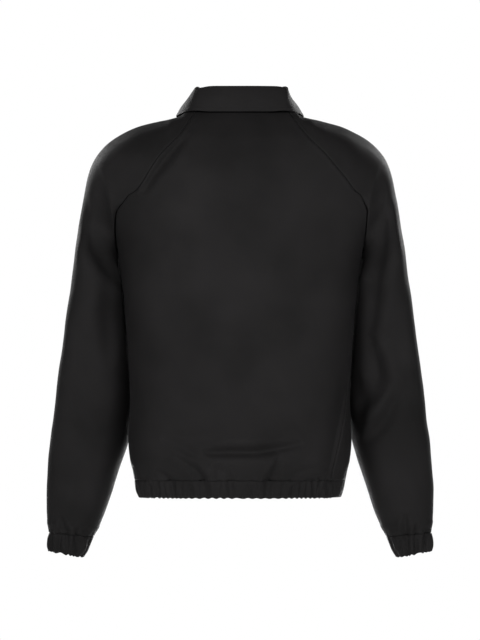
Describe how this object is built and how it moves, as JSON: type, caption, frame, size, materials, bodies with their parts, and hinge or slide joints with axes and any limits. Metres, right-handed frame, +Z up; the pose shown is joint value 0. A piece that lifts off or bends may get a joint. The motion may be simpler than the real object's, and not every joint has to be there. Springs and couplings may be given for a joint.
{
  "type": "bomber jacket",
  "caption": "Hip-length jacket with raglan sleeves, turned-down collar, front zip and gathered hem and cuffs, in its worn hollow shape",
  "frame": {"origin": "the middle of the neck's base, where the wearer's neck and shoulders hold the jacket", "axes": "+Z up, -Y the front, +Y the back, +X the wearer's left"},
  "size_m": [0.6368, 0.268, 0.7741],
  "materials": {
    "cloth": "matte black twill with a faint sheen",
    "zip_tape": "black woven tape",
    "zip_metal": "dark metal, satin"
  },
  "bodies": {
    "jacket": {"back": "cloth", "front_left": "cloth", "front_right": "cloth", "sleeve_left": "cloth", "sleeve_right": "cloth", "cuff_left": "cloth", "cuff_right": "cloth", "hem_back": "cloth", "hem_front_left": "cloth", "hem_front_right": "cloth", "collar_stand": "cloth", "collar_fall": "cloth", "zip_tape_left": "zip_tape", "zip_tape_right": "zip_tape", "zip_chain": "zip_metal", "zip_box": "zip_metal", "zip_slider": "zip_metal"},
    "zip_pull": {"zip_pull": "zip_metal"}
  },
  "joints": [
    {"name": "pull_swing", "type": "hinge", "parent": "jacket", "child": "zip_pull", "pos_m": [0, -0.09979, -0.08868], "axis": [-1, 0, 0], "range_deg": [0, 150]}
  ]
}
